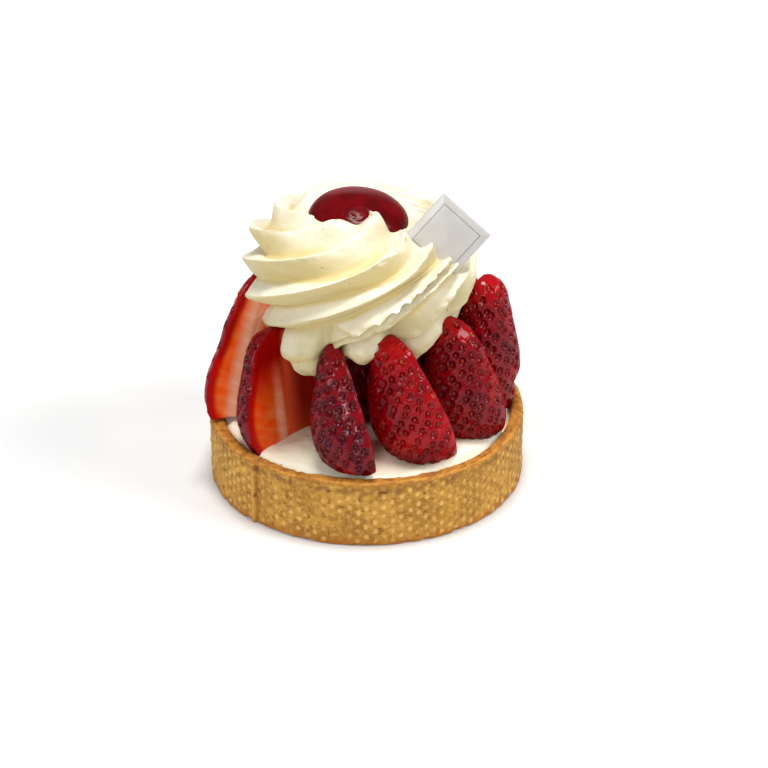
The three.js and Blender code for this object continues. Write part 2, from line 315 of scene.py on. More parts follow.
class Shader:
    """A material's node tree, with short ways to add what it needs."""

    def __init__(self, name):
        self.material = bpy.data.materials.new(name)
        self.material.use_nodes = True
        self.tree = self.material.node_tree
        self.surface = self.tree.nodes["Principled BSDF"]
        self.place = self.add("ShaderNodeTexCoord").outputs["Object"]

    def add(self, kind, inputs=None, **settings):
        made = self.tree.nodes.new(kind)
        for key, value in settings.items():
            setattr(made, key, value)
        for key, value in (inputs or {}).items():
            self.put(made.inputs[key], value)
        return made

    def put(self, socket, value):
        if isinstance(value, bpy.types.NodeSocket):
            self.tree.links.new(value, socket)
        else:
            socket.default_value = value

    def set(self, **values):
        """Sets the surface's sockets: base_color stands for "Base Color", and so on."""
        for key, value in values.items():
            words = key.replace("_", " ").title().replace("Ior", "IOR")
            self.put(self.surface.inputs[words], value)

    def noise(self, size, detail, seed=0.0):
        """Noise from about 0.25 to 0.75 with lumps about size mm across."""
        return self.add(
            "ShaderNodeTexNoise",
            {"Vector": self.place, "W": seed, "Scale": METRE / size, "Detail": detail},
            noise_dimensions="4D",
        ).outputs["Fac"]

    def facing(self, axis):
        """How far the surface faces along an axis, from -1 to 1."""
        normal = self.add("ShaderNodeNewGeometry").outputs["Normal"]
        return self.add("ShaderNodeSeparateXYZ", {0: normal}).outputs[axis]

    def scaled(self, value, low, high, to_low=0.0, to_high=1.0):
        return self.add(
            "ShaderNodeMapRange",
            {"Value": value, "From Min": low, "From Max": high, "To Min": to_low, "To Max": to_high},
            interpolation_type="SMOOTHSTEP",
        ).outputs["Result"]

    def attribute(self, name):
        return self.add("ShaderNodeAttribute", attribute_name=name).outputs["Fac"]

    def maths(self, operation, a, b=0.0):
        return self.add("ShaderNodeMath", {0: a, 1: b}, operation=operation).outputs[0]

    def times(self, a, b):
        return self.maths("MULTIPLY", a, b)

    def mix(self, share, a, b):
        """Mixes two colours: the node's sockets 6 and 7 in, and 2 out."""
        return self.add("ShaderNodeMix", {0: share, 6: a, 7: b}, data_type="RGBA").outputs[2]

    def masked(self, name, colour, other, share=1):
        """Lays another colour over a colour where the piece has this attribute."""
        return self.mix(self.times(self.attribute(name), share), colour, other)

    def patches(self, colour, size, detail, seed, begin, whole, cover, other):
        share = self.scaled(self.noise(size, detail, seed), begin, whole, 0, cover)
        return self.mix(share, colour, other)

    def ramp(self, value, stops):
        """A colour ramp: stops are (position, colour)."""
        made = self.add("ShaderNodeValToRGB", {"Fac": value})
        elements = made.color_ramp.elements
        while len(elements) < len(stops):
            elements.new(0.5)
        for element, (position, colour) in zip(elements, stops):
            element.position = position
            element.color = colour
        return made.outputs["Color"]

    def bump(self, depth, size, detail, seed=0.0):
        """Bumps of noise, depth mm high where the noise goes from 0 to 1."""
        height = self.noise(size, detail, seed)
        made = self.add("ShaderNodeBump", {"Height": height, "Distance": depth * MM})
        self.put(self.surface.inputs["Normal"], made.outputs["Normal"])


def crust_material():
    shader = Shader("baked_crust")
    colour = rgb(172, 123, 42)
    for patch in CRUST_PATCHES:
        colour = shader.patches(colour, *patch)
    rim_colour = rgb(180, 118, 38)
    for patch in RIM_PATCHES:
        rim_colour = shader.patches(rim_colour, *patch)
    colour = shader.masked("edge", colour, rgb(176, 104, 26))
    colour = shader.masked("dot", colour, rgb(232, 188, 106), 0.9)
    colour = shader.masked("rim", colour, rim_colour)
    # Paler on the seam's bead, and a painted highlight along the rim's outer top edge
    colour = shader.masked("bead", colour, rgb(224, 166, 78))
    # Dark pits and patches under the rim, and painted shadow in the grooves beside the seam's bead and
    # at the nick
    colour = shader.masked("pit", colour, rgb(126, 78, 28))
    shader.set(base_color=colour, roughness=0.72, specular_ior_level=0.3,
               subsurface_weight=0.08, subsurface_radius=(1, 0.5, 0.25), subsurface_scale=0.001)
    shader.bump(0.3, 0.6, 5, seed=3)
    return shader.material


def vanilla_specks(shader):
    """A small speck in some of the cells, often a faint one."""
    cells = shader.add("ShaderNodeTexVoronoi", {"Vector": shader.place, "Scale": METRE / SPECK_CELL})
    speck = shader.scaled(cells.outputs["Distance"], 0.05, 0.11, 1.0, 0.0)
    chance = shader.add("ShaderNodeSeparateColor", {"Color": cells.outputs["Color"]})
    rare = shader.scaled(chance.outputs[0], 0.4, 0.42)
    faint = shader.scaled(chance.outputs[1], 0.0, 1.0, 0.2, 0.8)
    return shader.times(shader.times(speck, rare), faint)


def cream_material(name, light, shade_and_deep_tone, seeped):
    """Cream with painted light where it faces up and painted shade where it faces down. seeped is how
    far each colour of light goes in.
    """
    shader = Shader(name)
    # Painted light on faces turned up, painted shade on faces turned down
    colour = shader.mix(shader.scaled(shader.facing("Z"), 0.1, 0.85), shade_and_deep_tone, light)
    colour = shader.patches(colour, 8, 2, 0, 0.38, 0.62, 0.3, shade_and_deep_tone)
    # Painted shade in the rosette's grooves and under its fins
    colour = shader.masked("groove", colour, rgb(214, 192, 126))
    # A painted lighter tone on top of the nest's far side
    colour = shader.masked("far_side_painted_light", colour, rgb(242, 238, 226), 0.42)
    colour = shader.mix(vanilla_specks(shader), colour, rgb(120, 100, 72))
    shader.set(base_color=colour, roughness=0.45, specular_ior_level=0.3,
               subsurface_weight=0.3, subsurface_radius=seeped, subsurface_scale=0.0015)
    shader.bump(0.12, 0.7, 4, seed=1)
    return shader.material


def skin_material():
    """Glazed skin, with painted shade in the pits and a painted reflection on the cushions between
    them.
    """
    shader = Shader("strawberry_skin")
    mottle = shader.scaled(shader.noise(6, 3), 0.3, 0.7, -0.2, 0.2)
    tone = shader.maths("ADD", shader.attribute("bright"), mottle)
    colour = shader.ramp(tone, [
        (0.0, rgb(74, 0, 16)), (0.45, rgb(120, 1, 11)), (0.75, rgb(160, 3, 11)),
        (1.0, rgb(200, 22, 12)),
    ])
    from_seed = shader.attribute("seed_mm")
    # Painted reflection on the cushions between the pits
    cushion_reflection = shader.scaled(from_seed, 1.1, 1.7)
    colour = shader.mix(shader.times(cushion_reflection, 0.3), colour, rgb(168, 14, 28))
    # Painted shade in the pits
    pit = shader.scaled(from_seed, 0.3, 1.2, 1.0, 0.0)
    colour = shader.mix(shader.times(pit, 0.3), colour, rgb(74, 0, 6))
    shader.set(base_color=colour, roughness=0.4, specular_ior_level=0.0,
               coat_weight=0.48, coat_roughness=0.08,
               subsurface_weight=0.1, subsurface_radius=(1, 0.15, 0.1), subsurface_scale=0.001)
    shader.bump(0.3, 1.1, 2, seed=4)
    return shader.material


def flesh_streaks(shader, across, along):
    """Faint streaks that fan out from the middle of the cut face."""
    fanned = shader.maths("ADD", along, shader.times(shader.maths("ABSOLUTE", across), -0.55))
    fan = shader.add("ShaderNodeCombineXYZ", {0: fanned, 1: shader.times(across, 0.22)})
    streaks = shader.add("ShaderNodeTexNoise", {"Vector": fan.outputs[0], "Scale": 0.42, "Detail": 1.5})
    return shader.scaled(streaks.outputs["Fac"], 0.42, 0.7)


def flesh_material():
    """The cut face: a red rim, an orange band with faint streaks, a pale core, and painted shade over
    one side.
    """
    shader = Shader("strawberry_flesh")
    across, along = shader.attribute("across"), shader.attribute("along")
    streaks = flesh_streaks(shader, across, along)
    mottle = shader.scaled(shader.noise(3, 3, seed=7), 0.36, 0.64)
    colour = shader.mix(mottle, rgb(216, 6, 2), rgb(196, 3, 2))
    colour = shader.mix(shader.scaled(along, 14, 27, 0, 0.6), colour, rgb(128, 3, 2))
    band = shader.mix(mottle, rgb(255, 82, 10), rgb(255, 102, 18))
    band = shader.mix(shader.times(streaks, 0.15), band, rgb(255, 176, 120))
    colour = shader.masked("orange", colour, band)
    core = shader.mix(streaks, rgb(248, 172, 136), rgb(254, 190, 156))
    colour = shader.masked("pale", colour, core)
    # Painted shade over the face's inner side, darker further from the middle
    shade = shader.mix(shader.scaled(across, 1.5, 8), rgb(240, 92, 56), rgb(146, 20, 14))
    colour = shader.masked("painted_shade", colour, shade)
    rim = shader.scaled(shader.attribute("rim_mm"), 0.2, 1.0, 1.0, 0.0)
    colour = shader.mix(rim, colour, rgb(170, 2, 6))
    shader.set(base_color=colour, roughness=0.45, specular_ior_level=0.12,
               subsurface_weight=0.2, subsurface_radius=(1, 0.3, 0.15), subsurface_scale=0.0015)
    shader.bump(0.08, 1.6, 3, seed=6)
    return shader.material


def seed_material():
    shader = Shader("strawberry_seed")
    tone = shader.scaled(shader.noise(1.5, 1), 0.4, 0.62)
    dull = shader.mix(tone, rgb(164, 40, 22), rgb(118, 14, 14))
    golden = shader.mix(tone, rgb(226, 132, 48), rgb(190, 84, 30))
    colour = shader.masked("gold", dull, golden)
    shader.set(base_color=colour, roughness=0.35, specular_ior_level=0.15,
               coat_weight=0.25, coat_roughness=0.1)
    shader.bump(0.03, 0.4, 1)
    return shader.material


def gel_material():
    """Dark-red gel with a painted, paler reflection where it faces back."""
    shader = Shader("strawberry_gel")
    colour = shader.patches(rgb(102, 1, 8), 5, 2, 0, 0.38, 0.62, 1, rgb(84, 1, 5))
    # A painted reflection where the gel faces back
    painted_sheen = shader.scaled(shader.facing("Y"), -0.04, 0.2, 0, 0.15)
    colour = shader.mix(painted_sheen, colour, rgb(200, 130, 135))
    shader.set(base_color=colour, roughness=0.2, specular_ior_level=0.0,
               coat_weight=0.26, coat_roughness=0.18,
               subsurface_weight=0.1, subsurface_radius=(1, 0.1, 0.08), subsurface_scale=0.003)
    shader.bump(0.08, 2.2, 2)
    return shader.material


def card_material():
    """Satin card with a thin plain line frame, in the card's own coordinates."""
    shader = Shader("satin_card")
    split = shader.add("ShaderNodeSeparateXYZ", {0: shader.place})
    sides = [shader.maths("ABSOLUTE", split.outputs[axis]) for axis in "XZ"]
    from_middle = shader.maths("MAXIMUM", *sides)
    off_line = shader.maths("ABSOLUTE", shader.maths("SUBTRACT", from_middle, CARD_LINE * MM))
    line = shader.scaled(off_line, 0.08 * MM, 0.16 * MM, 1.0, 0.0)
    colour = shader.patches(rgb(196, 193, 189), 6, 2, 0, 0.4, 0.6, 1, rgb(189, 186, 182))
    colour = shader.mix(shader.times(line, 0.7), colour, rgb(92, 88, 86))
    shader.set(base_color=colour, roughness=0.38, coat_weight=0.3, coat_roughness=0.2)
    shader.bump(0.01, 0.5, 2)
    return shader.material


def floor_material():
    shader = Shader("pale_floor")
    colour = shader.patches(rgb(226, 226, 225), 60, 2, 0, 0.4, 0.6, 1, rgb(222, 222, 222))
    shader.set(base_color=colour, roughness=0.6)
    return shader.material


# Crust

CRUST_STEPS = 900
CRUST_SIDE_ROWS = 66
CRUST_HUB = 10  # radius of the innermost rings, above and below
DOT_COLUMNS = 116
DOT_ROWS = 6
DOT_PITCH = TURN * CRUST_RADIUS / DOT_COLUMNS
DOT_RISE = 2.9  # height between two dots of a column
DOT_FOOT = 1.6  # height of the lowest dots
DOT_RADIUS = 0.88
DOT_SHIFT = 0.22  # how far a dot may stand off its place
DOT_FAINTEST = 0.4


def crust_profile():
    """Radius and height of the cup's section, from its underside round the rim to its floor."""
    radius, inner = CRUST_RADIUS, CRUST_RADIUS - CRUST_WALL
    foot, edge = CRUST_FOOT_ROUND, CRUST_EDGE_ROUND
    top = CRUST_HEIGHT - edge

    def straight(start, end, count):
        return np.linspace(start, end, count + 2)[1:-1]

    return np.concatenate([
        [(CRUST_HUB, 0), (radius * 0.6, 0)],
        arc_points((radius - foot, foot), foot, -90, 0, 5),
        straight((radius, foot), (radius, top), CRUST_SIDE_ROWS),
        arc_points((radius - edge, top), edge, 0, 90, 7),
        straight((radius - edge, CRUST_HEIGHT), (inner + edge, CRUST_HEIGHT), 3),
        arc_points((inner + edge, top), edge, 90, 180, 7),
        straight((inner, top), (inner, HIDDEN_BELOW), 6),
        [(inner, CRUST_FLOOR), (inner * 0.6, CRUST_FLOOR), (CRUST_HUB, CRUST_FLOOR)],
    ])


def dots_at(girth, z):
    """How much a place on the crust's side belongs to one of its printed dots, 0 to 1."""
    strength = np.random.default_rng(11).uniform(DOT_FAINTEST, 1, (DOT_COLUMNS, DOT_ROWS))
    shift = np.random.default_rng(12).uniform(-DOT_SHIFT, DOT_SHIFT, (DOT_COLUMNS, DOT_ROWS, 2))
    near = 0
    for column_step in (-1, 0, 1):
        column = np.round(girth / DOT_PITCH).astype(int) + column_step
        stagger = 0.5 * (column % 2)
        for row_step in (-1, 0, 1):
            row = np.round((z - DOT_FOOT) / DOT_RISE - stagger).astype(int) + row_step
            inside = (row >= 0) & (row < DOT_ROWS)
            index = (column % DOT_COLUMNS, np.clip(row, 0, DOT_ROWS - 1))
            off_girth = girth - (column * DOT_PITCH + shift[index][..., 0])
            off_z = z - (DOT_FOOT + DOT_RISE * (row + stagger) + shift[index][..., 1])
            share = 1 - np.hypot(off_girth, off_z * 0.85) / DOT_RADIUS
            near = np.maximum(near, inside * strength[index] * smoothstep(share, 0, 0.7))
    return near


class CrustGrid:
    """The crust's plain points, and how far each belongs to its parts and marks."""

    def __init__(self):
        self.radius, self.z = np.split(crust_profile(), 2, axis=1)
        self.azimuth = angles_round(CRUST_STEPS)
        self.place = polar(self.radius, self.azimuth, self.z)
        self.wall = (self.radius > CRUST_RADIUS - 0.1) & (self.z > CRUST_FOOT_ROUND)
        self.outside = self.radius >= CRUST_RADIUS - CRUST_EDGE_ROUND
        self.top = smoothstep(self.z, CRUST_HEIGHT - 1.4, CRUST_HEIGHT - 0.4)
        self.side = self.wall * smoothstep(self.z, 0.4, 1.4) * (1 - smoothstep(self.z, 17.2, 18))
        self.mark_seams()
        self.mark_prints()

    def mark_seams(self):
        """The step where the dough overlaps, and a bead and a groove there and at the nick."""
        round_mm = TURN * CRUST_RADIUS
        past_seam = (np.degrees(self.azimuth) - CRUST_SEAM_AZIMUTH) % 360 / 360
        from_nick = (np.degrees(self.azimuth) - CRUST_NICK_AZIMUTH) / 360 * round_mm
        bead = bell((1 - past_seam) * round_mm - 0.5, 0.5)
        self.step = CRUST_SEAM_STEP * (past_seam - 1)
        self.bead = bead + 0.7 * bell(from_nick, 0.45) * smoothstep(self.z, 15, 16.5)
        self.groove = (bell(past_seam * round_mm - 0.5, 0.5)
                       + bell(from_nick - 0.9, 0.4) * (self.z > 15.5))

    def mark_prints(self):
        """The dots of the ring, which fade at the seams, and the pits between them."""
        plain = 1 - smoothstep(self.bead + self.groove, 0.05, 0.4)
        dot = self.side * dots_at(self.azimuth * CRUST_RADIUS, self.z) * plain
        self.dot = dot * smoothstep(noise(self.place, 7, 3), -0.9, 0.1)
        self.pit = smoothstep(noise(self.place, 0.9, 5), 0.66, 0.82) * self.side * (1 - self.dot)

    def rings(self):
        """The points with their relief."""
        place, z, top = self.place, self.z, self.top
        crumbs = 0.16 * noise(place, 2.4, 1) + (0.1 + 0.1 * top) * noise(place, 0.9, 2)
        ragged = -0.5 * smoothstep(noise(place, 2.2, 7), 0, 0.6) * (1 - smoothstep(z, 0.3, 1.6))
        seams = self.step + 0.4 * self.bead - 0.15 * self.groove
        out = self.outside * (seams + crumbs + ragged) + 0.24 * self.dot - 0.22 * self.pit
        waves = 0.25 * np.sin(3 * self.azimuth) - 0.25 + 0.2 * noise(place, 6, 8)
        rise = top * (waves + 0.15 * self.bead)
        rise += top * (0.2 * noise(place, 1.2, 9) + 0.2 * noise(place, 3, 10))
        return polar(self.radius + out, self.azimuth, z + rise)

    def masks(self):
        place, z = self.place, self.z
        rim = smoothstep(z, CRUST_HEIGHT - 1.1, CRUST_HEIGHT - 0.5)
        rim = rim + (self.radius < CRUST_RADIUS - 1) * (z > 10)
        # A painted highlight along the rim's outer top edge
        lip_highlight = bell(self.radius - (CRUST_RADIUS - 0.55), 0.45) * (z > CRUST_HEIGHT - 0.7)
        lip_highlight = lip_highlight * smoothstep(noise(place, 2.2, 12), -0.8, 0.5)
        under_rim = bell(z - 16.8, 1.1) * self.wall * smoothstep(noise(place, 1.8, 6), -0.5, 0.5)
        edge = self.outside * (1 - smoothstep(z + 0.9 * noise(place, 1.6, 13), 0.8, 3))
        return {
            "dot": self.dot,
            # Dark pits and patches under the rim, with painted shadow in the grooves at the seam and
            # the nick
            "pit": np.clip(self.pit + 0.5 * self.groove * self.side + 0.65 * under_rim, 0, 1),
            "rim": np.clip(rim, 0, 1),
            # Paler on the seam's bead, with the painted highlight along the rim's outer top edge
            "bead": np.clip(self.bead * self.wall + 0.45 * lip_highlight, 0, 1) * 0.9,
            "edge": np.clip(edge * (0.7 + 0.5 * noise(place, 3, 4)), 0, 1),
        }


def make_crust(material):
    grid = CrustGrid()
    rings = grid.rings()
    points, faces = skin(rings)
    masks = masks_on_skin(grid.masks(), rings.shape[:2])
    make_piece("tart_crust", points, faces, [material], "crust", "crust", **masks)


# Filling

FILLING_ROWS = 64
FILLING_STEPS = 320


def make_filling(material):
    outer = CRUST_RADIUS - CRUST_WALL - FILLING_CLEARANCE
    bottom = CRUST_FLOOR + GAP
    shares = np.linspace(1, 0.02, FILLING_ROWS)
    profile = np.concatenate([
        [(outer * 0.6, bottom), (outer, bottom), (outer, HIDDEN_BELOW), (outer, FILLING_TOP - 1.5)],
        np.stack([outer * shares, np.full(FILLING_ROWS, FILLING_TOP)], -1),
    ])
    azimuth = angles_round(FILLING_STEPS)
    radius, z = np.split(profile, 2, axis=1)
    place = polar(radius, azimuth, z)
    mounds = sum(
        height * bell(np.hypot(place[..., 0] - x, place[..., 1] - y), spread)
        for x, y, height, spread in FILLING_MOUNDS
    )
    top = z >= FILLING_TOP
    wave = FILLING_WAVE * np.sin(radius * 0.35 + 5 * azimuth) * np.minimum(1, radius / 10)
    at_rim = smoothstep(radius, outer - 2.2, outer)
    rough = 0.45 * noise(place, 7, 21) + 0.2 * noise(place, 2.6, 22) + 0.06 * noise(place, 1, 23)
    place[..., 2] += top * (lerp(wave + rough + mounds, -0.8, at_rim) + 0.3 * (1 - at_rim))
    points, faces = skin(place)
    make_piece("cream_filling", points, faces, [material], "filling", "filling_cream")


# Berries

SKIN_STEPS = 108
FACE_STEPS = 36
BERRY_ROWS = 116
FRONT_BERRIES = 6  # the first ones, which face the photo and are a little finer
FRONT_FINENESS = 1.12
BACK_FINENESS = 0.9
HEAP_FINENESS = 0.3
SKIN, FLESH, SEED = range(3)  # the order of a half's materials

SEED_PITCH = 3.0
SEED_SHIFT = 0.35  # how far the seeds stray from their spiral
SEED_HALF_SIZE = (0.38, 0.6, 0.24)  # across, along and out of the skin
SEED_SIDES = 8
SEED_LEVELS = (-50, -15, 20, 55)
PIT_DEPTH = 0.48
GOLDEN_ANGLE = pi * (3 - sqrt(5))
UPRIGHT_SHARE = 0.85  # how much upright distances count between a place and its nearest seed


def berry_width_at(berry, share):
    """Width at a share of the height, as a share of the greatest one."""
    shoulder, taper = 0.35, berry["taper"]

    def form(u):
        return u ** shoulder * (1 - u) ** (taper - 0.2 * smoothstep(u, 0.6, 1))

    middle, depth, spread = berry["waist"]
    hollow = 1 - depth * bell(share - middle, spread)
    hollow = hollow * (1 - berry["rounded"] * np.maximum(1 - share / 0.1, 0) ** 2)
    return hollow * form(lerp(BERRY_HULL_CUT, 1, share)) / form(shoulder / (shoulder + taper))


def berry_middle(berry, share):
    return np.stack([-berry["sway"] * share, berry["lean"] * share ** 1.3,
                     berry["height"] * share], -1)


def berry_skin_at(berry, share, angle):
    """Points of the skin: angle runs from 90 degrees to 270, away from the cut face."""
    width = berry_width_at(berry, share)
    out = np.stack(np.broadcast_arrays(
        berry["bulge"] * width * np.cos(angle),
        berry["width"] / 2 * width * np.sin(angle),
        0.0,
    ), -1)
    return out + berry_middle(berry, share)


def seed_places(berry, rng):
    """Height shares and angles of the seeds, which wind round the skin in a golden spiral."""
    levels = np.linspace(0, 1, 60)
    axis = sqrt((berry["bulge"] ** 2 + (berry["width"] / 2) ** 2) / 2)
    girth = TURN * axis * berry_width_at(berry, levels) + 1
    area = np.cumsum(girth) * berry["height"] * 1.1 / len(levels)
    count = int(area[-1] / SEED_PITCH ** 2)
    shares = np.interp((np.arange(count) + 0.5) / count * area[-1], area, levels)
    angles = (GOLDEN_ANGLE * np.arange(count) + rng.uniform(0, TURN)) % TURN
    shares = shares + rng.normal(0, SEED_SHIFT / berry["height"], count)
    angles = angles + rng.normal(0, SEED_SHIFT / axis, count)
    kept = (np.abs(angles - pi) < pi / 2 - 0.09) & (shares > 0.02) & (shares < 0.975)
    return shares[kept], angles[kept]


def seed_axes(berry, seeds, share):
    """The seeds' directions out of the skin and up along it."""
    outs = seeds - berry_middle(berry, share)
    outs[:, 0] *= (berry["width"] / 2 / berry["bulge"]) ** 2
    outs[:, 2] += 0.35 * np.linalg.norm(outs, axis=1) * (share * 1.6 - 0.5)
    outs /= np.linalg.norm(outs, axis=1, keepdims=True)
    ups = (0, 0, 1) - outs[:, 2:] * outs
    ups /= np.linalg.norm(ups, axis=1, keepdims=True)
    return outs, ups


def seed_mesh(centres, outs, ups, rng):
    """Pips at centres, with their flat side facing outs and their point up."""
    levels = np.radians(SEED_LEVELS)[:, None]
    ring = polar(np.cos(levels), angles_round(SEED_SIDES), np.sin(levels))
    ring[..., 0] *= 1 - 0.25 * ring[..., 1]
    points, faces = skin(ring)
    axes = np.stack([np.cross(ups, outs), ups, outs], 1) * np.array(SEED_HALF_SIZE)[:, None]
    axes *= rng.uniform(0.85, 1.1, len(axes))[:, None, None]
    pips = centres[:, None] + points @ axes
    all_faces = [face for k in range(len(pips)) for face in renumbered(faces, k * len(points))]
    return pips.reshape(-1, 3), all_faces


def seed_gold(berry, share, angle, rng):
    """How golden the seeds are: most of all near the cut and near the tip."""
    at_edge = smoothstep(np.abs(angle - pi), 0.9, 1.5)
    gold = berry["golden"] * np.maximum(at_edge, smoothstep(share, 0.75, 0.95))
    return np.clip(gold + rng.uniform(-0.6, 0.1, len(gold)), 0, 1)


class HalfGrid:
    """The plain points of a half: each row runs round the skin, then across the cut face."""

    def __init__(self, berry, fineness):
        self.berry = berry
        rows, self.skin_steps, face_steps = (
            int(count * fineness) for count in (BERRY_ROWS, SKIN_STEPS, FACE_STEPS)
        )
        self.share = (1 - (1 - np.linspace(0, 0.995, rows)) ** 1.35)[:, None]
        angle = np.linspace(pi / 2, 3 * pi / 2, self.skin_steps + 1)
        across = np.sin(np.linspace(-pi / 2, pi / 2, face_steps + 1)[1:-1])
        half = berry["width"] / 2 * berry_width_at(berry, self.share)
        middle = berry_middle(berry, self.share)
        face = np.repeat(middle, across.size, axis=1)
        face[..., 1] += half * across
        self.rings = np.concatenate([berry_skin_at(berry, self.share, angle), face], 1)
        self.column = np.arange(self.rings.shape[1])
        self.across = self.rings[..., 1] - middle[..., 1]
        from_tip = berry["height"] * (1 - self.share) * 0.6
        self.to_edge = np.maximum(np.minimum(half - np.abs(self.across), from_tip), 0)

    def from_seeds(self, seeds):
        """Distance of each point from the nearest seed."""
        off = self.rings[:, :, None] - seeds
        return np.sqrt((off[..., :2] ** 2).sum(-1) + (off[..., 2] * UPRIGHT_SHARE) ** 2).min(-1)

    def relief(self, from_seed, seed):
        """Skin that swells between its pits, and a cut face with a low ridge."""
        is_skin = self.column <= self.skin_steps
        to_corner = np.minimum(self.column, self.skin_steps - self.column)
        off_corner = smoothstep(to_corner / self.skin_steps, 0, 0.03)
        crater = 1 - smoothstep(from_seed, 0.3, 0.9)
        swell = 0.24 * smoothstep(from_seed, 0.75, 1.65) + 0.26 * bell(from_seed - 1.2, 0.28)
        lumps = 0.45 * noise(self.rings, 8, seed) + 0.12 * noise(self.rings, 3, seed + 1)
        out = is_skin * (off_corner * (swell - PIT_DEPTH * crater) + lumps - 0.1)
        ridge = 0.25 * bell(self.across, 0.8) - 0.35 * smoothstep(self.to_edge, 0.5, 3)
        return out + ~is_skin * (0.12 * noise(self.rings, 2.5, seed + 2) + ridge)

    def face_materials(self):
        rows_and_fans = len(self.rings) - 1 + 2
        is_skin = np.tile(self.column, rows_and_fans) < self.skin_steps
        return np.where(is_skin, SKIN, FLESH).tolist()

    def masks(self, from_seed, brighter):
        berry, share = self.berry, self.share
        core, pale_half, faded = berry.get("core", (0, 1.2, 0.175 * berry["width"] + 1))
        off_core = np.abs(self.across - core)
        low = 1 - smoothstep(share, berry["ripe"] - 0.25, berry["ripe"] + 0.3)
        bright = berry["bright"] + brighter
        # Painted shade on the face's inner side, a little less near its foot
        shaded = berry["painted_shade"] * smoothstep(self.across, 0, 3.4)
        return {
            "seed_mm": from_seed,
            "rim_mm": self.to_edge,
            "across": self.across,
            "along": berry["height"] * share,
            "bright": np.clip(bright + 0.25 * smoothstep(share, 0.75, 1), 0, 1),
            "orange": smoothstep(self.to_edge, 1.2, 3.4) * low,
            "pale": berry["pale"] * low * (1 - smoothstep(off_core, pale_half, faded)),
            "painted_shade": shaded * lerp(0.75, 1, smoothstep(share, 0.02, 0.3)),
        }


def half_mesh(berry, seed, fineness):
    """Points, faces, face materials and masks of one half: skin, cut face and seeds."""
    rng = np.random.default_rng(seed)
    grid = HalfGrid(berry, fineness)
    share, angle = seed_places(berry, rng)
    seeds = berry_skin_at(berry, share, angle)
    from_seed = grid.from_seeds(seeds)
    rings = pushed(grid.rings, grid.relief(from_seed, seed))
    points, faces = skin(rings)

    outs, ups = seed_axes(berry, seeds, share)
    seed_points, seed_faces = seed_mesh(seeds - outs * (PIT_DEPTH + 0.05), outs, ups, rng)
    faces += renumbered(seed_faces, len(points))
    materials = grid.face_materials() + [SEED] * len(seed_faces)

    masks = grid.masks(from_seed, 0.15 * noise(rings, 8, seed + 4))
    masks = masks_on_skin(masks, from_seed.shape, len(seed_points))
    gold = np.repeat(seed_gold(berry, share, angle, rng), len(seed_points) // len(seeds))
    masks["gold"] = np.append(np.zeros(len(points)), gold)
    return np.concatenate([points, seed_points]), faces, materials, masks


def make_berry(berry, number, materials):
    fineness = FRONT_FINENESS if number <= FRONT_BERRIES else BACK_FINENESS
    points, faces, face_material, masks = half_mesh(berry, 100 + 10 * number, fineness)
    turn = radians(berry["azimuth"] + 90 + berry["turn"])
    foot = polar(berry["reach"], radians(berry["azimuth"]), berry["foot"])
    make_piece(f"strawberry_{number:02d}", turned(points, turn, "Z") + foot, faces, materials,
               f"berry_{number:02d}", "strawberry", face_material, **masks)


def make_heap(materials):
    """Whole berries, each of two halves, under the rosette."""
    all_points, all_faces, all_materials, all_masks = [], [], [], []
    for k in range(HEAP_COUNT):
        azimuth = radians(45 + 90 * k)
        foot = polar(HEAP_REACH, azimuth, FILLING_TOP + HEAP_RISE)
        points, faces, face_material, masks = half_mesh(HEAP_BERRY, 300 + 20 * k, HEAP_FINENESS)
        for half in range(2):
            all_faces += renumbered(faces, sum(map(len, all_points)))
            all_points.append(turned(points, azimuth + pi * half, "Z") + foot)
            all_materials += face_material
            all_masks.append(masks)
    masks = {key: np.concatenate([m[key] for m in all_masks]) for key in all_masks[0]}
    make_piece("strawberry_heap", np.concatenate(all_points), all_faces, materials,
               "berry_heap", "strawberry_heap", all_materials, **masks)


# Rosette

ROSETTE_ROWS = 240
STEPS_PER_FIN = 40
# Round a ring: the share of the way from one fin to the next, and the steps from the torn crest.
FIN_SHARES = np.tile(np.arange(STEPS_PER_FIN) / STEPS_PER_FIN, len(FINS))
FROM_TORN_CREST = np.arange(len(FIN_SHARES)) - TORN_FIN * STEPS_PER_FIN
# What rounds a fin's crest, the rounded distance at the crest, and from there to the groove.
CREST_ROUNDING, CREST_LOW, CREST_SPAN = 0.003, 0.055, 0.947


def spline(values, share):
    """Catmull-Rom curve through rows of values, evenly spaced in share."""
    last = len(values) - 1
    at = np.clip(share, 0, 1) * last
    low = np.minimum(np.floor(at).astype(int), last)
    part = (at - low)[..., None]
    p0, p1 = values[np.maximum(low - 1, 0)], values[low]
    p2, p3 = values[np.minimum(low + 1, last)], values[np.minimum(low + 2, last)]
    v0, v1 = (p2 - p0) / 2, (p3 - p1) / 2
    return ((2 * p1 - 2 * p2 + v0 + v1) * part ** 3 + (-3 * p1 + 3 * p2 - 2 * v0 - v1) * part ** 2
            + v0 * part + p1)


def fin_shape(u, hollow):
    """1 on the fin's crest, 0 in the groove; the faces between are flat, or hollow up to 1."""
    off_crest = 1 - np.abs(2 * (u - 0.1 * np.sin(pi * u)) - 1)
    off_crest = lerp(off_crest, np.sin(pi / 2 * off_crest), hollow)
    return 1 - (np.sqrt(off_crest ** 2 + CREST_ROUNDING) - CREST_LOW) / CREST_SPAN


def lobe_shape(u):
    return (0.5 + 0.5 * np.cos(TURN * u)) ** 0.6


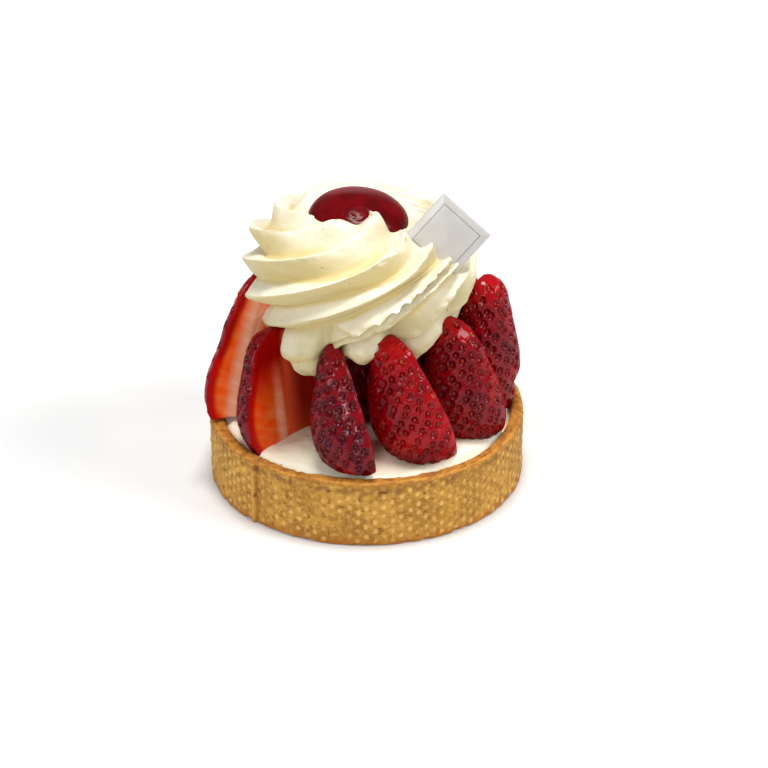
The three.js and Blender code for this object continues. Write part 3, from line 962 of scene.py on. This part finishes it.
def rosette_section():
    """Radius, height, groove depth and twist of each row, and the section's direction there."""
    share = np.linspace(0, 1, ROSETTE_ROWS)[:, None]
    along = spline(ROSETTE_SECTION, share + 1e-3) - spline(ROSETTE_SECTION, share - 1e-3)
    along = along[..., :2] / np.linalg.norm(along[..., :2], axis=-1, keepdims=True)
    return *np.moveaxis(spline(ROSETTE_SECTION, share), -1, 0), along


def rosette_fins(z, twist):
    """Azimuths of the points, and how near each is to a crest, from 0 to 1."""
    high_up = smoothstep(z, 50, 66)
    fins = lerp(np.array(FINS), np.array(FINS_HIGH), high_up)
    gaps = (np.roll(fins, -1, 1) - fins) % 360
    azimuth = np.repeat(fins, STEPS_PER_FIN, 1) + np.repeat(gaps, STEPS_PER_FIN, 1) * FIN_SHARES
    grooves = lerp(np.array(GROOVES_LOW), np.array(GROOVES_HIGH), high_up)
    hollow = 0.2 + smoothstep(z, 58, 69)
    shape = lerp(fin_shape(FIN_SHARES, hollow), lobe_shape(FIN_SHARES), lobe_share(z))
    return azimuth + twist, 1 - np.repeat(grooves, STEPS_PER_FIN, 1) * (1 - shape)


def lobe_share(z):
    return 1 - smoothstep(z, 44, 56)


def nest_lift(azimuth, radius, high):
    return sum(
        height * high * (1 - smoothstep(radius, 12, reach)) * bell_at(azimuth, middle, spread)
        for middle, height, spread, reach in NEST_WAVES
    )


def outside_push(azimuth, z):
    return sum(out * bell_at(azimuth, middle, spread) * bell(z - level, reach)
               for middle, level, out, spread, reach in ROSETTE_PUSHES)


def torn_crest(azimuth, z, shape):
    """How far the teeth of the torn crest hang down."""
    return smoothstep(shape, 0.55, 1) * bell(z - 61, 9) * bell(FROM_TORN_CREST, 16) * sum(
        drop * np.maximum(1 - np.abs(off_azimuth(azimuth, middle)) / spread, 0)
        for middle, drop, spread in TEETH
    )


def flap_over(azimuth, z, shape):
    """How thick the flap lies on the torn fin."""
    start, lead, thickness = FLAP
    past_start = azimuth - start + lead * (1 - shape)
    flap = thickness * smoothstep(past_start, 0, 2) * (1 - smoothstep(past_start, 14, 45))
    flap = flap * smoothstep(FROM_TORN_CREST, -21, -17)
    return flap * (1 - smoothstep(FROM_TORN_CREST, 0, 3)) * bell(z - 60, 9)


def rosette_rings():
    radius, z, depth, twist, along = rosette_section()
    azimuth, shape = rosette_fins(z, twist)
    high = smoothstep(z, 58, 68)
    top = high * (1 - smoothstep(radius, 12, 28))
    dip_azimuth, dip, dip_spread, dip_radius, dip_reach = SHOULDER_DIP
    dipped = high * bell_at(azimuth, dip_azimuth, dip_spread) * bell(radius - dip_radius, dip_reach)
    inwards = depth * (1 - shape) * (1 - 0.5 * dipped)
    inwards = inwards * (1 - 0.8 * top * bell_at(azimuth, *SMOOTH_TOP))
    sag = sum(lobe_share(z) * drop * bell_at(azimuth, middle, spread)
              for middle, drop, spread in LOBE_SAGS)
    lift = dip * dipped + nest_lift(azimuth, radius, high)
    torn = torn_crest(azimuth, z, shape)
    rings = polar(
        radius - along[..., 1] * inwards + outside_push(azimuth, z) + flap_over(azimuth, z, shape)
        + 0.4 * torn,
        np.radians(azimuth),
        z + along[..., 0] * inwards - sag + lift - torn,
    )
    return rings + lerp(ROSETTE_CENTRE, NEST_CENTRE, top[..., None]), shape


def rosette_masks(rings, shape):
    """Painted shade in the grooves and under the fins, and a painted lighter tone on top of the nest's
    far side.
    """
    x, y, z = np.moveaxis(rings, -1, 0)
    # Painted shade on the lower face of each fin
    underside = 0.42 * smoothstep(FIN_SHARES, 0.02, 0.12) * (1 - smoothstep(FIN_SHARES, 0.45, 0.65))
    # Where the painted shade is weaker: on top of the nest and towards the right
    less_painted_shade = np.maximum(smoothstep(z, 72, 75), smoothstep(z, 66, 72) * smoothstep(x, 2, 14))
    less_painted_shade = np.maximum(less_painted_shade, 0.6 * smoothstep(x, 16, 26))
    return {
        # Painted shade in the grooves and under the fins
        "groove": np.maximum(1 - smoothstep(shape, 0, 0.3), underside) * (0.85 - 0.65 * less_painted_shade),
        # A painted lighter tone on top of the nest's far side
        "far_side_painted_light": smoothstep(z, 72, 75) * smoothstep(y, -3, 8),
    }


def make_rosette(material):
    """Piped cream, soft between its ragged crests, roughest at the front right."""
    rings, shape = rosette_rings()
    x, y, z = np.moveaxis(rings, -1, 0)
    rough = bell_at(np.degrees(np.arctan2(y, x)), 310, 40) * smoothstep(z, 50, 56)
    ragged = (0.25 + 0.4 * rough) * noise(rings, 2, 31) + (0.1 + 0.2 * rough) * noise(rings, 0.9, 32)
    soft = 0.3 * noise(rings, 8, 33) + 0.08 * noise(rings, 2.5, 34)
    rings = pushed(rings, ragged * smoothstep(shape, 0.6, 1) + soft)
    points, faces = skin(rings)
    masks = masks_on_skin(rosette_masks(rings, shape), rings.shape[:2])
    make_piece("cream_rosette", points, faces, [material], "rosette", "whipped_cream", **masks)


# Gel and card

GEL_ROWS = 110
GEL_STEPS = 220
WRINKLE_PITCH = 2.4
WRINKLE_SPREAD = 3.6
CORNER_STEPS = 6
# Rings from the card's front to its back: how far each is set in, and its depth, 1 at the front.
CARD_EDGE = ((4, 1), (0.25, 1), (0.07, 0.825), (0, 0.5), (0, -0.5), (0.07, -0.825), (0.25, -1),
             (4, -1))


def make_gel(material):
    """A smooth dome with faint winding wrinkles at its front."""
    angle = np.linspace(-pi / 2, pi / 2, GEL_ROWS + 2)[1:-1, None]
    azimuth = angles_round(GEL_STEPS)
    height = np.where(angle > 0, GEL_RISE, GEL_DROP)
    rings = polar(GEL_RADIUS * np.cos(angle), azimuth, height * np.sin(angle))
    off = rings - GEL_CURL
    from_curl = np.linalg.norm(off, axis=-1)
    winding = np.arctan2(off[..., 2], off[..., 0]) / 2 + 3.4 * noise(rings, 2, 43)
    wrinkle = np.sin(TURN * from_curl / WRINKLE_PITCH + winding) * bell(from_curl, WRINKLE_SPREAD)
    points, faces = skin(pushed(rings, 0.12 * noise(rings, 5, 41) + 0.1 * wrinkle))
    points = turned(points, radians(GEL_TILT), "Y") + GEL_CENTRE
    make_piece("gel_dome", points, faces, [material], "gel", "gel")


def card_outline():
    inner = CARD_SIDE / 2 - CARD_CORNER
    corners = inner * np.array(((1, 1), (-1, 1), (-1, -1), (1, -1)))
    return np.concatenate([arc_points(corner, CARD_CORNER, 90 * k, 90 * k + 90, CORNER_STEPS)
                           for k, corner in enumerate(corners)])


def make_card(material):
    """A thin plate with rounded corners and edges, modelled flat and then stood up."""
    outline = card_outline()
    rings = []
    for inset, depth in CARD_EDGE:
        x, z = (outline * (1 - inset / (CARD_SIDE / 2))).T
        rings.append(np.stack([x, np.full(len(outline), depth * CARD_THICKNESS / 2), z], -1))
    points, faces = skin(np.array(rings))
    card = make_piece("card", points, faces, [material], "card", "card")
    tilt = Matrix.Rotation(radians(-CARD_LEAN), 4, "X")
    roll = Matrix.Rotation(radians(CARD_ROLL), 4, "Y")
    card.matrix_world = Matrix.Translation(Vector(CARD_CENTRE) * MM) @ tilt @ roll


# Stage, light and camera, in metres

FLOOR_HALF = 4
WORLD_STRENGTH = 0.29
# Softboxes: name, place, the height on the tart's axis looked at, sides and power.
LIGHTS = (
    ("softbox_above", (0.04, 0.1, 1.8), 0.05, (0.6, 0.6), 27),
    ("softbox_right", (1.44, -0.36, 1.24), 0.04, (0.8, 0.7), 16.2),
    ("softbox_left", (-1.48, -0.52, 1.0), 0.04, (0.72, 0.6), 6.8),
    ("softbox_front", (-0.3, -1.9, 1.0), 0.04, (0.45, 0.45), 9.4),
)
CAMERA_LOOKS_AT = Vector((4.57, 0, 25)) * MM
CAMERA_ELEVATION = radians(29.4)
CAMERA_DISTANCE = 0.8
CAMERA_LENS = 138.98
CAMERA_SENSOR = 36
CAMERA_CLIP_START = 0.01


def make_floor():
    corners = [(-1, -1, 0), (1, -1, 0), (1, 1, 0), (-1, 1, 0)]
    mesh = bpy.data.meshes.new("floor")
    mesh.from_pydata(np.array(corners) * FLOOR_HALF, [], [(0, 1, 2, 3)])
    mesh.materials.append(floor_material())
    floor = make_object("floor", mesh)


def make_light(name, place, look_height, sides, power):
    light = bpy.data.lights.new(name, "AREA")
    light.shape = "RECTANGLE"
    light.size, light.size_y = sides
    light.energy = power
    lamp = make_object(name, light)
    lamp.location = place
    look = Vector((0, 0, look_height)) - Vector(place)
    lamp.rotation_euler = look.to_track_quat("-Z", "Y").to_euler()


def make_world():
    world = bpy.data.worlds.new("studio")
    world.use_nodes = True
    background = world.node_tree.nodes["Background"]
    background.inputs["Color"].default_value = (1, 1, 1, 1)
    background.inputs["Strength"].default_value = WORLD_STRENGTH
    bpy.context.scene.world = world
    bpy.context.scene.view_settings.view_transform = "Standard"


def make_camera():
    data = bpy.data.cameras.new("camera")
    data.lens = CAMERA_LENS
    data.sensor_width = CAMERA_SENSOR
    data.clip_start = CAMERA_CLIP_START
    camera = make_object("camera", data)
    back = Vector((0, -cos(CAMERA_ELEVATION), sin(CAMERA_ELEVATION)))
    camera.location = CAMERA_LOOKS_AT + back * CAMERA_DISTANCE
    camera.rotation_euler = (pi / 2 - CAMERA_ELEVATION, 0, 0)
    bpy.context.scene.camera = camera


make_camera()
make_floor()
for light in LIGHTS:
    make_light(*light)
make_world()

berry_materials = [skin_material(), flesh_material(), seed_material()]
filling_cream = cream_material(
    "filling_cream", light=rgb(251, 245, 223), shade_and_deep_tone=rgb(248, 236, 204), seeped=(1, 0.9, 0.7))
whipped_cream = cream_material(
    "whipped_cream", light=rgb(236, 230, 210), shade_and_deep_tone=rgb(204, 191, 146), seeped=(1, 0.8, 0.5))

make_crust(crust_material())
make_filling(filling_cream)
for number, (*places, differing) in enumerate(BERRIES, start=1):
    berry = USUAL_BERRY | dict(zip(BERRY_KEYS, places)) | differing
    make_berry(berry, number, berry_materials)
make_heap(berry_materials)
make_rosette(whipped_cream)
make_gel(gel_material())
make_card(card_material())
